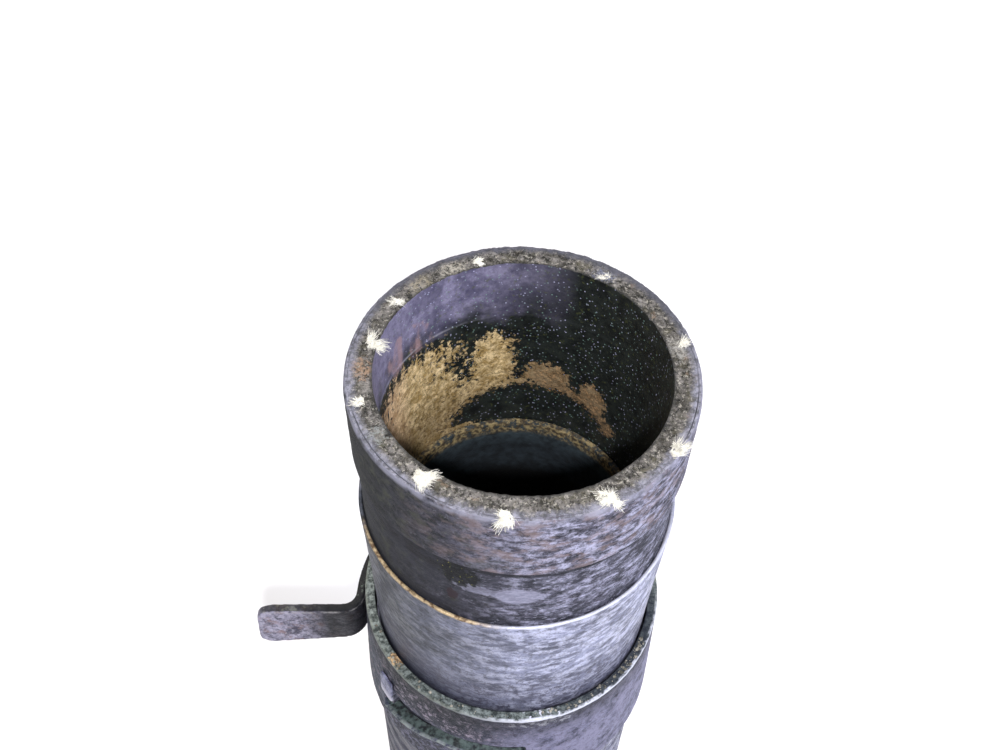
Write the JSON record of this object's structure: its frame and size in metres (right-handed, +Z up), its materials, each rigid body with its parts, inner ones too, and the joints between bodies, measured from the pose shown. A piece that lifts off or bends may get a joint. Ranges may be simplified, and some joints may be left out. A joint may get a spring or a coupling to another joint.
{
  "type": "camlock coupling",
  "caption": "Quarter-turn cam coupling with side lever, joining a cut suction hose end to a lower hose",
  "frame": {"origin": "on the run axis, at the lower hose's end face", "axes": "+Z up the run axis towards the cut hose end, the lever towards -X at rest"},
  "size_m": [0.1805, 0.1324, 0.3521],
  "materials": {
    "hose_rubber": "scuffed matte rubber",
    "hose_liner": "smooth rubber, dusty",
    "hose_carcass": "cut cord and rubber",
    "yarn": "frayed polyester yarn",
    "ferrule_steel": "worn, drawn marks",
    "adapter_iron": "rough cast",
    "body_iron": "worn cast",
    "seal_rubber": "smooth",
    "ring_steel": "machined, greasy",
    "lever_steel": "forged, rubbed",
    "screw_steel": "machined"
  },
  "bodies": {
    "coupler": {"coupler_body": "body_iron", "gasket": "seal_rubber", "retaining_ring": "ring_steel", "tail_hose_tube": "hose_liner", "tail_hose_ply": "hose_carcass", "tail_hose_cover": "hose_rubber", "tail_ferrule": "ferrule_steel"},
    "cam": {"cam_ring": "ring_steel", "front_lug": "ring_steel", "rear_lug": "ring_steel", "lever_foot": "ring_steel", "lever": "lever_steel", "lever_screw_1": "screw_steel", "lever_screw_2": "screw_steel"},
    "hose_end": {"hose_tube": "hose_liner", "hose_ply": "hose_carcass", "hose_cover": "hose_rubber", "hose_end_wrap": "hose_rubber", "ferrule": "ferrule_steel", "adapter": "adapter_iron", "yarn_end_01": "yarn", "yarn_end_02": "yarn", "yarn_end_03": "yarn", "yarn_end_04": "yarn", "yarn_end_05": "yarn", "yarn_end_06": "yarn", "yarn_end_07": "yarn", "yarn_end_08": "yarn", "yarn_end_09": "yarn", "yarn_end_10": "yarn"}
  },
  "joints": [
    {"name": "cam_lever_turn", "type": "hinge", "parent": "coupler", "child": "cam", "pos_m": [0, 0, 0.176], "axis": [0, 0, 1], "range_deg": [0, 52]},
    {"name": "hose_swivel", "type": "hinge", "parent": "coupler", "child": "hose_end", "pos_m": [0, 0, 0.2], "axis": [0, 0, 1], "continuous": true}
  ]
}
